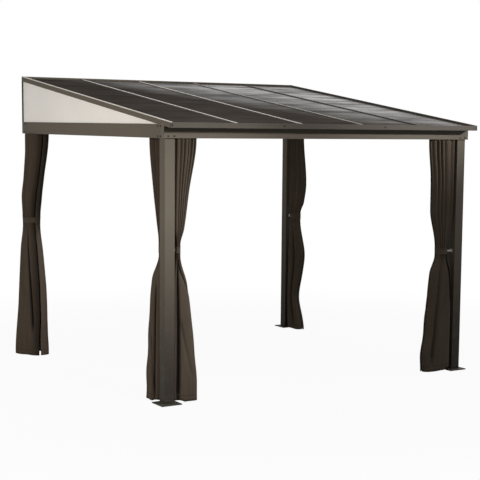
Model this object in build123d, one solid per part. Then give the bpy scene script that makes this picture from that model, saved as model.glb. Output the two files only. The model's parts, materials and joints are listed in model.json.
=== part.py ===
from build123d import *
import math
import os

os.makedirs("parts", exist_ok=True)

# Footprint, taken over the outer faces of the posts (mm)
span_x = 2980.0
span_y = 2840.0
post_top = 2060.0

# Posts and feet
post_side = 85.0
post_wall = 3.0
plate_side = 175.0
plate_thick = 8.0
anchor_pitch = 133.0
anchor_hole = 12.0
spigot_wall = 4.0
spigot_length = 80.0
sleeve_clear = 0.5

# Ring of beams on the post tops
beam_height = 107.0
beam_thick = 45.0
beam_wall = 3.0
beam_proud = 18.0
cap_thick = 3.0
cap_depth = 14.0
bracket_thick = 4.0
bracket_rise = 84.0
rear_lift = 30.0

# Roof frame: the lip line is the top of the outer profiles
front_lip_rise = 15.0
roof_rise = 410.0
front_overhang = 118.0
lip_height = 14.0
lip_width = 22.0
edge_depth = 45.0
edge_width = 45.0
rail_thick = 20.0
rail_depth = 42.0
rail_ledge = 30.0
ledge_thick = 4.0
ridge_thick = 40.0
ridge_depth = 60.0
rafter_width = 40.0
rafter_depth = 45.0
stud_width = 45.0
stile_depth = 14.0

# Roof sheets and the strips that cover their seams
sheet_count = 5
sheet_thick = 8.0
sheet_gap = 2.0
strip_width = 20.0
strip_height = 7.0

# Opal gable panes
pane_thick = 8.0
pane_recess = 10.0
pane_least = 4.0

# Curtain tracks, curtains and their ties
track_width = 25.0
track_height = 25.0
track_wall = 3.0
track_slot = 8.0
cloth_clear = 0.3
hem_z = 20.0
bundle_span = 400.0
band_height = 50.0
band_thick = 3.0
peg_side = 14.0
peg_flange = 28.0
peg_flange_thick = 3.0

# Shared by every cut that runs through
overrun = 5.0

# Each row: height share of the drop, then shares of the bundle span:
# centre along the beam from the post, centre outward from the post axis,
# half length along the beam and half width across it
rear_left_shares = [
    (1.000, 0.382, 0.042, 0.352, 0.236),
    (0.800, 0.333, 0.113, 0.303, 0.217),
    (0.710, 0.306, 0.152, 0.257, 0.232),
    (0.625, 0.262, 0.085, 0.192, 0.240),
    (0.592, 0.262, 0.085, 0.192, 0.240),
    (0.480, 0.342, 0.175, 0.284, 0.278),
    (0.240, 0.425, 0.179, 0.363, 0.368),
    (0.000, 0.460, 0.225, 0.400, 0.420),
]
front_left_side_shares = [
    (1.000, 0.286, 0.020, 0.251, 0.112),
    (0.800, 0.204, 0.000, 0.169, 0.112),
    (0.690, 0.150, -0.020, 0.110, 0.110),
    (0.600, 0.118, -0.030, 0.055, 0.100),
    (0.560, 0.118, -0.030, 0.055, 0.100),
    (0.460, 0.249, -0.010, 0.214, 0.120),
    (0.240, 0.307, 0.000, 0.272, 0.150),
    (0.000, 0.329, 0.020, 0.294, 0.165),
]
front_left_shares = [
    (1.000, 0.262, 0.020, 0.250, 0.112),
    (0.800, 0.181, 0.020, 0.169, 0.112),
    (0.660, 0.132, 0.010, 0.112, 0.110),
    (0.600, 0.118, 0.000, 0.058, 0.105),
    (0.560, 0.118, 0.000, 0.058, 0.105),
    (0.450, 0.166, -0.010, 0.154, 0.130),
    (0.240, 0.240, -0.020, 0.228, 0.160),
    (0.000, 0.285, -0.020, 0.273, 0.170),
]
rear_right_shares = [
    (1.000, 0.301, 0.020, 0.281, 0.112),
    (0.750, 0.379, 0.010, 0.359, 0.120),
    (0.660, 0.339, 0.000, 0.319, 0.120),
    (0.600, 0.288, 0.000, 0.198, 0.115),
    (0.565, 0.288, 0.000, 0.198, 0.115),
    (0.380, 0.346, 0.020, 0.326, 0.160),
    (0.160, 0.216, 0.020, 0.196, 0.160),
    (0.000, 0.324, 0.040, 0.304, 0.190),
]
front_right_shares = [
    (1.000, 0.365, 0.020, 0.353, 0.112),
    (0.820, 0.324, 0.015, 0.312, 0.120),
    (0.700, 0.320, 0.010, 0.308, 0.120),
    (0.535, 0.304, 0.000, 0.148, 0.120),
    (0.500, 0.304, 0.000, 0.148, 0.120),
    (0.420, 0.302, -0.010, 0.290, 0.145),
    (0.240, 0.343, -0.020, 0.331, 0.175),
    (0.000, 0.393, -0.025, 0.381, 0.195),
]
front_right_side_shares = [
    (1.000, 0.427, 0.020, 0.360, 0.112),
    (0.820, 0.449, 0.020, 0.345, 0.125),
    (0.700, 0.426, 0.030, 0.259, 0.130),
    (0.535, 0.371, 0.025, 0.122, 0.125),
    (0.500, 0.371, 0.025, 0.122, 0.125),
    (0.420, 0.458, 0.080, 0.278, 0.200),
    (0.240, 0.603, 0.175, 0.266, 0.350),
    (0.000, 0.675, 0.225, 0.230, 0.420),
]
bundle_sides = 16

# Everything below follows from the sizes above
half_span = span_x / 2
half_width = half_span + beam_proud
plate_edge = (plate_side - post_side) / 2
front_reach = beam_proud + front_overhang
rear_reach = plate_edge
depth_all = front_reach + span_y + rear_reach
front_y = front_reach - depth_all / 2
rear_y = front_y + span_y
rail_y = front_y - front_reach
beam_front_y = front_y - beam_proud
beam_rear_y = rear_y + beam_proud
beam_top = post_top + beam_height
front_lip_z = beam_top + front_lip_rise
rear_lip_z = front_lip_z + roof_rise
lip_slope = (rear_lip_z - front_lip_z) / (beam_rear_y - rail_y)
rail_in_y = rail_y + rail_thick
ridge_in_y = beam_rear_y - ridge_thick
beam_in_front_y = beam_front_y + beam_thick
beam_in_rear_y = beam_rear_y - beam_thick
beam_in_x = half_width - beam_thick
post_inner_x = half_span - post_side


def lip_z(y, drop):
    return front_lip_z + lip_slope * (y - rail_y) - drop


def block(x0, x1, y0, y1, z0, z1):
    corner = (Align.MIN, Align.MIN, Align.MIN)
    return Pos(x0, y0, z0) * Box(x1 - x0, y1 - y0, z1 - z0, align=corner)


def slab(outline, x0, x1):
    edge = Wire.make_polygon([(x0, y, z) for y, z in outline], close=True)
    return extrude(Face(edge), amount=x1 - x0, dir=(1, 0, 0))


def sloped(y0, y1, top_drop, foot_drop, x0, x1):
    outline = [
        (y0, lip_z(y0, foot_drop)),
        (y1, lip_z(y1, foot_drop)),
        (y1, lip_z(y1, top_drop)),
        (y0, lip_z(y0, top_drop)),
    ]
    return slab(outline, x0, x1)


def save(shape, node):
    export_step(shape, f"parts/{node}.step")


def gather(solids):
    return Compound(children=[each.solid() for each in solids])


# Posts, each a square tube on a plate with a spigot inside its foot
corners = {
    "front_left": (-1, -1),
    "front_right": (1, -1),
    "rear_left": (-1, 1),
    "rear_right": (1, 1),
}


def post_box(side_x, side_y):
    x0 = -half_span if side_x < 0 else post_inner_x
    y0 = front_y if side_y < 0 else rear_y - post_side
    return x0, y0


def square_tube(x0, y0, side, wall, z0, z1):
    outer = block(x0, x0 + side, y0, y0 + side, z0, z1)
    bore = block(
        x0 + wall, x0 + side - wall, y0 + wall, y0 + side - wall, z0 - overrun, z1 + overrun
    )
    return outer - bore


def base_plate(x0, y0):
    inset = post_wall + sleeve_clear
    plate = block(
        x0 - plate_edge, x0 + post_side + plate_edge,
        y0 - plate_edge, y0 + post_side + plate_edge, 0, plate_thick,
    )
    for step_x in (-1, 1):
        for step_y in (-1, 1):
            hole = Pos(
                x0 + post_side / 2 + step_x * anchor_pitch / 2,
                y0 + post_side / 2 + step_y * anchor_pitch / 2,
                plate_thick / 2,
            ) * Cylinder(anchor_hole / 2, plate_thick + overrun)
            plate = plate - hole
    spigot = square_tube(
        x0 + inset, y0 + inset, post_side - 2 * inset, spigot_wall,
        plate_thick, plate_thick + spigot_length,
    )
    return plate + spigot


for name, (side_x, side_y) in corners.items():
    x0, y0 = post_box(side_x, side_y)
    save(square_tube(x0, y0, post_side, post_wall, plate_thick, post_top), f"post_{name}")
    save(base_plate(x0, y0), f"base_plate_{name}")


# Beams: front and rear run through, the side beams butt between them,
# and the rear one is raised by its lift between the posts
def long_beam(y0, lift):
    outer = block(
        -half_width + cap_thick, half_width - cap_thick, y0, y0 + beam_thick, post_top, beam_top
    )
    bore = block(
        -half_width - overrun, half_width + overrun, y0 + beam_wall, y0 + beam_thick - beam_wall,
        post_top + lift + beam_wall, beam_top - beam_wall,
    )
    relief = block(
        -post_inner_x, post_inner_x, y0 - overrun, y0 + beam_thick + overrun,
        post_top - overrun, post_top + lift,
    )
    return outer - bore - relief if lift > 0 else outer - bore


def side_beam(x0):
    outer = block(
        x0, x0 + beam_thick, beam_in_front_y, beam_in_rear_y, post_top, beam_top
    )
    bore = block(
        x0 + beam_wall, x0 + beam_thick - beam_wall, beam_in_front_y - overrun,
        beam_in_rear_y + overrun, post_top + beam_wall, beam_top - beam_wall,
    )
    return outer - bore


def end_cap(side_x, y0, lift):
    face = half_width - cap_thick
    plug = beam_wall + sleeve_clear
    lid = block(face, half_width, y0, y0 + beam_thick, post_top, beam_top)
    core = block(
        face - cap_depth, face, y0 + plug, y0 + beam_thick - plug,
        post_top + lift + plug, beam_top - plug,
    )
    cap = lid + core
    return cap if side_x > 0 else mirror(cap, Plane.YZ)


save(long_beam(beam_front_y, 0), "front_beam")
save(long_beam(beam_in_rear_y, rear_lift), "rear_beam")
save(side_beam(-half_width), "left_beam")
save(side_beam(beam_in_x), "right_beam")
caps = []
for y0, lift in ((beam_front_y, 0), (beam_in_rear_y, rear_lift)):
    for side_x in (-1, 1):
        caps.append(end_cap(side_x, y0, lift))
save(gather(caps), "beam_end_caps")


# Corner brackets: a spigot down the post and two flanges on the beams
def bracket(side_x, side_y):
    inset = post_wall + sleeve_clear
    x0, y0 = post_box(1, -1)
    spigot = square_tube(
        x0 + inset, y0 + inset, post_side - 2 * inset, spigot_wall,
        post_top - spigot_length, post_top,
    )
    seat = block(
        x0, beam_in_x, beam_in_front_y, y0 + post_side, post_top, post_top + bracket_thick
    )
    wing_y = block(
        x0, beam_in_x, beam_in_front_y, beam_in_front_y + bracket_thick,
        post_top, post_top + bracket_rise,
    )
    wing_x = block(
        beam_in_x - bracket_thick, beam_in_x, beam_in_front_y, y0 + post_side,
        post_top, post_top + bracket_rise,
    )
    shape = spigot + seat + wing_y + wing_x
    if side_y > 0:
        middle = Plane.XZ.offset(-(front_y + rear_y) / 2)
        shape = mirror(shape, middle)
    return shape if side_x > 0 else mirror(shape, Plane.YZ)


save(gather([bracket(*corners[name]) for name in corners]), "corner_brackets")


# Roof edge: front rail, ridge rail and the two gable rafters
front_foot = front_lip_z - rail_depth
sheet_drop = lip_height + sheet_thick
rail_face = [
    (rail_y, front_foot),
    (rail_in_y, front_foot),
    (rail_in_y, lip_z(rail_in_y, sheet_drop + ledge_thick)),
    (rail_in_y + rail_ledge, lip_z(rail_in_y + rail_ledge, sheet_drop + ledge_thick)),
    (rail_in_y + rail_ledge, lip_z(rail_in_y + rail_ledge, sheet_drop)),
    (rail_in_y, lip_z(rail_in_y, sheet_drop)),
    (rail_in_y, front_lip_z),
    (rail_y, front_lip_z),
]
ledge_end_x = half_width - edge_width - sleeve_clear
rail = slab(rail_face, -half_width, half_width)
for end in (-half_width - overrun, ledge_end_x):
    rail = rail - block(
        end, end + half_width - ledge_end_x + overrun,
        rail_in_y, rail_in_y + rail_ledge + overrun, front_foot, rear_lip_z,
    )
save(rail, "front_rail")

ridge_foot = lip_z(beam_rear_y, ridge_depth)
ridge_face = [
    (ridge_in_y, ridge_foot),
    (beam_rear_y, ridge_foot),
    (beam_rear_y, rear_lip_z),
    (ridge_in_y, lip_z(ridge_in_y, 0)),
]
save(slab(ridge_face, edge_width - half_width, half_width - edge_width), "ridge_rail")


def gable_rafter(side_x):
    bar = sloped(rail_in_y, beam_rear_y, 0, edge_depth, half_width - edge_width, half_width)
    step = sloped(
        rail_in_y - overrun, ridge_in_y, -overrun, sheet_drop,
        half_width - edge_width - overrun, half_width - lip_width,
    )
    seat = block(
        half_width - edge_width - overrun, half_width + overrun,
        beam_front_y, beam_rear_y, post_top, beam_top,
    )
    shape = bar - step - seat
    return shape if side_x > 0 else mirror(shape, Plane.YZ)


save(gable_rafter(-1), "gable_rafter_left")
save(gable_rafter(1), "gable_rafter_right")

# Middle rafters under the seams, and the short studs that carry the ridge;
# the corner studs stand behind the panes, with a stile at the panes' rear edge
sheet_pitch = 2 * half_width / sheet_count
seams = [-half_width + sheet_pitch * (index + 1) for index in range(sheet_count - 1)]
rafters = []
for seam in seams:
    rafters.append(
        sloped(
            beam_in_front_y, ridge_in_y, sheet_drop, sheet_drop + rafter_depth,
            seam - rafter_width / 2, seam + rafter_width / 2,
        )
    )
save(gather(rafters), "middle_rafters")

studs = []
for seam in seams:
    studs.append(
        block(
            seam - stud_width / 2, seam + stud_width / 2, ridge_in_y, beam_rear_y,
            beam_top, ridge_foot,
        )
    )


def corner_stud(side_x):
    stile_y = beam_rear_y - stile_depth
    body_x = half_width - pane_recess - pane_thick - sleeve_clear
    shape = None
    for y0, y1, x1 in ((ridge_in_y, stile_y, body_x), (stile_y, beam_rear_y, half_width)):
        outline = [
            (y0, beam_top),
            (y1, beam_top),
            (y1, lip_z(y1, edge_depth)),
            (y0, lip_z(y0, edge_depth)),
        ]
        bar = slab(outline, half_width - stud_width, x1)
        shape = bar if shape is None else shape + bar
    return shape if side_x > 0 else mirror(shape, Plane.YZ)


save(gather(studs + [corner_stud(-1), corner_stud(1)]), "ridge_studs")

# Roof sheets in the lip, with a strip over each seam
sheet_end_x = half_width - lip_width - sleeve_clear
edges = [-sheet_end_x - sheet_gap / 2] + seams + [sheet_end_x + sheet_gap / 2]
for index in range(sheet_count):
    sheet = sloped(
        rail_in_y + sleeve_clear, ridge_in_y - sleeve_clear, lip_height, sheet_drop,
        edges[index] + sheet_gap / 2, edges[index + 1] - sheet_gap / 2,
    )
    save(sheet, f"roof_sheet_{index + 1}")
strips = []
for seam in seams:
    strips.append(
        sloped(
            rail_in_y + sleeve_clear, ridge_in_y - sleeve_clear, lip_height - strip_height,
            lip_height, seam - strip_width / 2, seam + strip_width / 2,
        )
    )
save(gather(strips), "seam_strips")


# Gable panes stand on the side beams under the rafters
def pane(side_x):
    top_drop = edge_depth + sleeve_clear
    tip_rise = beam_top + pane_least - lip_z(rail_y, top_drop)
    tip_y = rail_y + tip_rise / lip_slope
    back_y = beam_rear_y - stile_depth - sleeve_clear
    outline = [
        (tip_y, beam_top),
        (back_y, beam_top),
        (back_y, lip_z(back_y, top_drop)),
        (tip_y, lip_z(tip_y, top_drop)),
    ]
    x1 = half_width - pane_recess
    shape = slab(outline, x1 - pane_thick, x1)
    return shape if side_x > 0 else mirror(shape, Plane.YZ)


save(pane(-1), "gable_pane_left")
save(pane(1), "gable_pane_right")


# Curtain tracks, slotted from below, on the inner faces of the beams
def track_front():
    y0 = beam_in_front_y
    length = post_inner_x - sleeve_clear
    bar = block(-length, length, y0, y0 + track_width, post_top, post_top + track_height)
    room = block(
        -length - overrun, length + overrun, y0 + track_wall, y0 + track_width - track_wall,
        post_top + track_wall, post_top + track_height - track_wall,
    )
    mouth = block(
        -length - overrun, length + overrun,
        y0 + (track_width - track_slot) / 2, y0 + (track_width + track_slot) / 2,
        post_top - overrun, post_top + track_height / 2,
    )
    return bar - room - mouth


def track_side(side_x):
    x1 = beam_in_x
    y0 = front_y + post_side + sleeve_clear
    y1 = rear_y - post_side - sleeve_clear
    bar = block(x1 - track_width, x1, y0, y1, post_top, post_top + track_height)
    room = block(
        x1 - track_width + track_wall, x1 - track_wall, y0 - overrun, y1 + overrun,
        post_top + track_wall, post_top + track_height - track_wall,
    )
    mouth = block(
        x1 - (track_width + track_slot) / 2, x1 - (track_width - track_slot) / 2,
        y0 - overrun, y1 + overrun, post_top - overrun, post_top + track_height / 2,
    )
    shape = bar - room - mouth
    return shape if side_x > 0 else mirror(shape, Plane.YZ)


save(track_front(), "curtain_track_front")
save(track_side(-1), "curtain_track_left")
save(track_side(1), "curtain_track_right")


# Curtains: a gathered bundle, a band round its waist and a peg to the post
def place(kind, along, outward):
    if kind == "rear_left":
        return -half_span + post_side / 2 - outward, rear_y - post_side - along
    if kind == "front_left_side":
        return -half_span + post_side / 2 - outward, front_y + post_side + along
    if kind == "front_left":
        return -post_inner_x + along, front_y + post_side / 2 - outward
    if kind == "rear_right":
        return half_span - post_side / 2 + outward, rear_y - post_side - along
    if kind == "front_right":
        return post_inner_x - along, front_y + post_side / 2 - outward
    return half_span - post_side / 2 + outward, front_y + post_side + along


def outline_ring(kind, row, z, grow):
    share, along, outward, half_along, half_across = row
    points = []
    for index in range(bundle_sides):
        turn = 2 * math.pi * index / bundle_sides
        run = along * bundle_span + (half_along * bundle_span + grow) * math.cos(turn)
        out = outward * bundle_span + (half_across * bundle_span + grow) * math.sin(turn)
        x, y = place(kind, run, out)
        points.append((x, y, z))
    return Wire.make_polygon(points, close=True)


def bundle_height(row):
    return hem_z + row[0] * (post_top - cloth_clear - hem_z)


def curtain(kind, rows):
    rings = [outline_ring(kind, row, bundle_height(row), 0) for row in reversed(rows)]
    return Solid.make_loft(rings, ruled=True)


def waist(rows):
    upper, lower = rows[3], rows[4]
    return upper, (bundle_height(upper) + bundle_height(lower)) / 2


def band(kind, rows):
    row, middle = waist(rows)
    low = middle - band_height / 2
    outer = Face(outline_ring(kind, row, low, cloth_clear + band_thick))
    inner = Face(outline_ring(kind, row, low, cloth_clear))
    return extrude(outer, amount=band_height, dir=(0, 0, 1)) - extrude(
        inner, amount=band_height, dir=(0, 0, 1)
    )


def peg(kind, rows):
    row, middle = waist(rows)
    reach = (row[1] - row[3]) * bundle_span - cloth_clear - band_thick
    outward = row[2] * bundle_span
    bars = []
    for length, side in ((reach, peg_side), (peg_flange_thick, peg_flange)):
        x0, y0 = place(kind, 0, outward - side / 2)
        x1, y1 = place(kind, length, outward + side / 2)
        bars.append(
            block(
                min(x0, x1), max(x0, x1), min(y0, y1), max(y0, y1),
                middle - side / 2, middle + side / 2,
            )
        )
    return bars[0] + bars[1]


curtains = {
    "rear_left": rear_left_shares,
    "front_left_side": front_left_side_shares,
    "front_left": front_left_shares,
    "rear_right": rear_right_shares,
    "front_right": front_right_shares,
    "front_right_side": front_right_side_shares,
}
for kind, rows in curtains.items():
    save(curtain(kind, rows), f"curtain_{kind}")
save(gather([band(kind, rows) for kind, rows in curtains.items()]), "tie_bands")
save(gather([peg(kind, rows) for kind, rows in curtains.items()]), "tie_pegs")
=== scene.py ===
import json
import math
import random

import bmesh
import bpy
from mathutils import Euler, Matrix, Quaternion, Vector


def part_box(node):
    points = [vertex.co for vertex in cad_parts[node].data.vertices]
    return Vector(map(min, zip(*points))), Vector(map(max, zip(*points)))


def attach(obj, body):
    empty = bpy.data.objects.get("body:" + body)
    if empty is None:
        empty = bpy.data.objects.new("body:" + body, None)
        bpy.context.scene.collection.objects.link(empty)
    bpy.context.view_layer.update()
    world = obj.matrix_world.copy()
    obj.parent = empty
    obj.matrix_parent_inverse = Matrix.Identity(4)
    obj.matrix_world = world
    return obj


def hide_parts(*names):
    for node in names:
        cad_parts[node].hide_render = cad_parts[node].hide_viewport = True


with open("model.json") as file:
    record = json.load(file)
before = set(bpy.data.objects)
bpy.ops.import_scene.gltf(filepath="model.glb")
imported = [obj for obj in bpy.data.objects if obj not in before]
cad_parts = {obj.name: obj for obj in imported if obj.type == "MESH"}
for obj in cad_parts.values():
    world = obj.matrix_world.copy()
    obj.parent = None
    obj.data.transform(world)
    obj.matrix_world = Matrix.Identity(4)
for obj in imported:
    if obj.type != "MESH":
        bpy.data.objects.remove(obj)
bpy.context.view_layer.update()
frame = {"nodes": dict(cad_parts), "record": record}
nodes = frame["nodes"]
scene = bpy.context.scene
print("frame loaded:", len(nodes), "nodes")


# camera at the photo's viewing angle
photoView = {
    "place": (-5.9649, -9.9450, 2.1766),
    "yaw": 33.171,
    "pitch": -6.660,
    "roll": 0.700,
    "focalPixels": 1265.50,
    "centre": (288.00, 272.00),
    "pixels": 480.0,
    "sensor": 36.0,
    "clipEnd": 200.0,
}


def makeCamera(view):
    data = bpy.data.cameras.new("photoCamera")
    data.sensor_width = view["sensor"]
    data.lens = view["focalPixels"] / view["pixels"] * view["sensor"]
    data.shift_x = (view["pixels"] / 2 - view["centre"][0]) / view["pixels"]
    data.shift_y = (view["centre"][1] - view["pixels"] / 2) / view["pixels"]
    data.clip_end = view["clipEnd"]
    camera = bpy.data.objects.new("photoCamera", data)
    tilt = math.pi / 2 + math.radians(view["pitch"])
    aim = Euler((tilt, 0.0, -math.radians(view["yaw"]))).to_quaternion()
    camera.rotation_mode = "QUATERNION"
    camera.rotation_quaternion = aim @ Quaternion((0.0, 0.0, 1.0), math.radians(view["roll"]))
    camera.location = view["place"]
    scene.collection.objects.link(camera)
    scene.camera = camera


makeCamera(photoView)
scene.view_settings.view_transform = "Standard"
print("camera set")


# small helpers for node trees
def addNode(tree, kind, values=None, **settings):
    node = tree.nodes.new(kind)
    for key, value in settings.items():
        setattr(node, key, value)
    for key, value in (values or {}).items():
        feed(tree, value, node.inputs[key])
    return node


def join(tree, source, target):
    tree.links.new(source, target)


# a plain value is set on the socket, an output is linked to it
def feed(tree, value, socket):
    if isinstance(value, bpy.types.NodeSocket):
        join(tree, value, socket)
    else:
        socket.default_value = value


def mathNode(tree, operation, *values):
    node = addNode(tree, "ShaderNodeMath", operation=operation)
    for socket, value in zip(node.inputs, values):
        feed(tree, value, socket)
    return node.outputs[0]


def scaleVector(tree, vector, factor):
    node = addNode(tree, "ShaderNodeVectorMath", {0: vector, "Scale": factor}, operation="SCALE")
    return node.outputs[0]


def rangeNode(tree, value, limits, **settings):
    node = addNode(tree, "ShaderNodeMapRange", limits, **settings)
    join(tree, value, node.inputs["Value"])
    return node.outputs["Result"]


def noiseNode(tree, place, values):
    return addNode(tree, "ShaderNodeTexNoise", {**values, "Vector": place}).outputs["Fac"]


def bumpNode(tree, height, values):
    return addNode(tree, "ShaderNodeBump", {**values, "Height": height}).outputs[0]


def splitPlace(tree, place):
    return addNode(tree, "ShaderNodeSeparateXYZ", {0: place}).outputs


def mixColours(tree, factor, first, second):
    values = {"A": first, "B": second, "Factor": factor}
    return addNode(tree, "ShaderNodeMix", values, data_type="RGBA").outputs["Result"]


def newGroup(name, inputs, outputs):
    tree = bpy.data.node_groups.new(name, "ShaderNodeTree")
    for label, kind in inputs:
        tree.interface.new_socket(label, in_out="INPUT", socket_type=kind)
    for label, kind in outputs:
        tree.interface.new_socket(label, in_out="OUTPUT", socket_type=kind)
    return tree, addNode(tree, "NodeGroupInput").outputs, addNode(tree, "NodeGroupOutput").inputs


def useGroup(tree, group, values):
    return addNode(tree, "ShaderNodeGroup", values, node_tree=group).outputs


def newMaterial(name, shaderValues):
    material = bpy.data.materials.new(name)
    material.use_nodes = True
    shader = material.node_tree.nodes["Principled BSDF"]
    for key, value in shaderValues.items():
        shader.inputs[key].default_value = value
    return material, material.node_tree, shader.inputs


def objectPlace(tree):
    return addNode(tree, "ShaderNodeTexCoord").outputs["Object"]


colourSocket = "NodeSocketColor"
valueSocket = "NodeSocketFloat"
vectorSocket = "NodeSocketVector"


# shared effect: mottled powder coat with a fine orange-peel skin
grainLook = {
    "cloud": {"Scale": 2.6, "Detail": 5.0, "Roughness": 0.6},
    "spread": {"From Min": 0.25, "From Max": 0.75},
    "middle": 0.5,
    "peelDetail": 2.0,
}


def makeCoatGrain(look):
    tree, source, sink = newGroup(
        "coatGrain",
        [
            ("Vector", vectorSocket), ("Colour", colourSocket), ("Mottle", valueSocket),
            ("Rough Low", valueSocket), ("Rough High", valueSocket), ("Peel Scale", valueSocket),
        ],
        [("Colour", colourSocket), ("Roughness", valueSocket), ("Height", valueSocket)],
    )
    cloud = noiseNode(tree, source["Vector"], look["cloud"])
    shift = mathNode(tree, "SUBTRACT", rangeNode(tree, cloud, look["spread"]), look["middle"])
    scaled = mathNode(tree, "MULTIPLY_ADD", shift, source["Mottle"], 1.0)
    join(tree, scaleVector(tree, source["Colour"], scaled), sink["Colour"])
    limits = {"To Min": source["Rough Low"], "To Max": source["Rough High"]}
    join(tree, rangeNode(tree, cloud, limits), sink["Roughness"])
    skin = {"Detail": look["peelDetail"], "Scale": source["Peel Scale"]}
    join(tree, noiseNode(tree, source["Vector"], skin), sink["Height"])
    return tree


# shared effect: pale wear where a rounded edge turns away from its face
wearLook = {
    "edge": {"From Min": 0.99, "From Max": 0.8, "To Min": 0.0, "To Max": 1.0},
    "chips": {"Scale": 34.0, "Detail": 4.0},
    "cut": {"From Min": 0.38, "From Max": 0.68},
}


def makeEdgeWear(look):
    tree, source, sink = newGroup(
        "edgeWear",
        [
            ("Vector", vectorSocket), ("Round Normal", vectorSocket),
            ("Face Normal", vectorSocket), ("Amount", valueSocket),
        ],
        [("Mask", valueSocket)],
    )
    normals = {0: source["Round Normal"], 1: source["Face Normal"]}
    turn = addNode(tree, "ShaderNodeVectorMath", normals, operation="DOT_PRODUCT")
    edge = rangeNode(tree, turn.outputs["Value"], look["edge"])
    cut = rangeNode(tree, noiseNode(tree, source["Vector"], look["chips"]), look["cut"])
    both = mathNode(tree, "MULTIPLY", edge, cut)
    join(tree, mathNode(tree, "MULTIPLY", both, source["Amount"]), sink["Mask"])
    return tree


# shared effect: a colour near the ground that fades out with height; lighter dust on the plates and
# screws, dark painted shade towards the bottom of the frame
dustAndShadeLook = {
    "specks": {"Scale": 11.0, "Detail": 6.0, "Roughness": 0.7},
    "cut": {"From Min": -0.6, "From Max": 0.5},
}


def makeGroundDustAndShade(look):
    tree, source, sink = newGroup(
        "groundDustAndShade",
        [("Vector", vectorSocket), ("Top", valueSocket), ("Amount", valueSocket)],
        [("Mask", valueSocket)],
    )
    fall = rangeNode(
        tree, splitPlace(tree, source["Vector"])["Z"],
        {"From Min": 0.0, "From Max": source["Top"], "To Min": 1.0, "To Max": 0.0},
        interpolation_type="SMOOTHSTEP",
    )
    cut = rangeNode(tree, noiseNode(tree, source["Vector"], look["specks"]), look["cut"])
    both = mathNode(tree, "MULTIPLY", fall, cut)
    join(tree, mathNode(tree, "MULTIPLY", both, source["Amount"]), sink["Mask"])
    return tree


# shared effect: plain woven threads, read from a UV map laid out in metres
weaveLook = {
    "slubStretch": (90.0, 4.0, 1.0),
    "slub": {"Scale": 1.0, "Detail": 4.0},
    "middle": 0.5,
}


def makeClothWeave(look):
    tree, source, sink = newGroup(
        "clothWeave",
        [
            ("Vector", vectorSocket), ("Threads", valueSocket),
            ("Colour", colourSocket), ("Slub", valueSocket),
        ],
        [("Colour", colourSocket), ("Height", valueSocket)],
    )
    threads = splitPlace(tree, scaleVector(tree, source["Vector"], source["Threads"]))
    waves = [mathNode(tree, "SINE", threads[axis]) for axis in ("X", "Y")]
    join(tree, mathNode(tree, "MULTIPLY", *waves), sink["Height"])
    spread = {0: source["Vector"], 1: look["slubStretch"]}
    stretch = addNode(tree, "ShaderNodeVectorMath", spread, operation="MULTIPLY")
    slub = noiseNode(tree, stretch.outputs[0], look["slub"])
    shift = mathNode(tree, "SUBTRACT", slub, look["middle"])
    lift = mathNode(tree, "MULTIPLY_ADD", shift, source["Slub"], 1.0)
    join(tree, scaleVector(tree, source["Colour"], lift), sink["Colour"])
    return tree


coatGrain = makeCoatGrain(grainLook)
edgeWear = makeEdgeWear(wearLook)
groundDustAndShade = makeGroundDustAndShade(dustAndShadeLook)
clothWeave = makeClothWeave(weaveLook)


# painted metal: coat, worn edges, and a tone near the ground that is dust on plates and screws and
# painted shade on the frame;
# each finish gives only what differs from the plain one
plainFinish = {
    "metallic": 0.0,
    "specular": 0.2,
    "mottle": 0.1,
    "rough": (0.45, 0.6),
    "peelScale": 650.0,
    "peel": 0.25,
    "peelDepth": 0.0004,
    "edgeRadius": 0.002,
    "wear": 0.2,
    "dustAndShadeTop": 0.1,
    "dustAndShade": 0.0,
    "dustAndShadeColour": (0.04, 0.034, 0.028, 1.0),
}
frameFinish = {
    "specular": 0.06, "rough": (0.48, 0.62), "edgeRadius": 0.003, "wear": 0.35,
    "wornColour": (0.33, 0.3, 0.27, 1.0),
}
finishLooks = {
    # the frame coat darkens towards the bottom, up to 1.7 m: painted shade
    "taupeCoat": {
        **frameFinish, "colour": (0.134, 0.114, 0.09, 1.0), "mottle": 0.12,
        "dustAndShadeTop": 1.7, "dustAndShade": 1.0,
    },
    # a darker copy of the frame coat for the front rail: painted shade
    "railShadedCoat": {**frameFinish, "colour": (0.088, 0.077, 0.064, 1.0), "mottle": 0.16},
    "plateCoat": {
        "colour": (0.032, 0.027, 0.022, 1.0), "mottle": 0.3, "rough": (0.45, 0.7),
        "peelScale": 500.0, "peel": 0.3, "wear": 0.5, "wornColour": (0.1, 0.088, 0.075, 1.0),
        "dustAndShadeTop": 0.12, "dustAndShade": 0.35, "dustAndShadeColour": (0.05, 0.043, 0.036, 1.0),
    },
    "trackMetal": {
        "metallic": 0.6, "specular": 0.5, "colour": (0.2, 0.18, 0.16, 1.0), "rough": (0.35, 0.5),
        "peelScale": 300.0, "peel": 0.15, "edgeRadius": 0.001, "wear": 0.4,
        "wornColour": (0.45, 0.43, 0.4, 1.0),
    },
    "capPlastic": {
        "colour": (0.13, 0.113, 0.093, 1.0), "rough": (0.55, 0.7), "peelScale": 900.0,
        "peel": 0.35, "wornColour": (0.28, 0.25, 0.22, 1.0),
    },
    "pegPlastic": {
        "specular": 0.4, "colour": (0.6, 0.57, 0.52, 1.0), "mottle": 0.15, "peelScale": 700.0,
        "peel": 0.2, "wornColour": (0.75, 0.72, 0.68, 1.0),
    },
    "screwMetal": {
        "colour": (0.012, 0.01, 0.009, 1.0), "mottle": 0.3, "peelScale": 900.0, "peel": 0.1,
        "edgeRadius": 0.0004, "wear": 0.3, "wornColour": (0.06, 0.055, 0.05, 1.0),
        "dustAndShade": 0.2, "dustAndShadeColour": (0.2, 0.18, 0.16, 1.0),
    },
}


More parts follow.
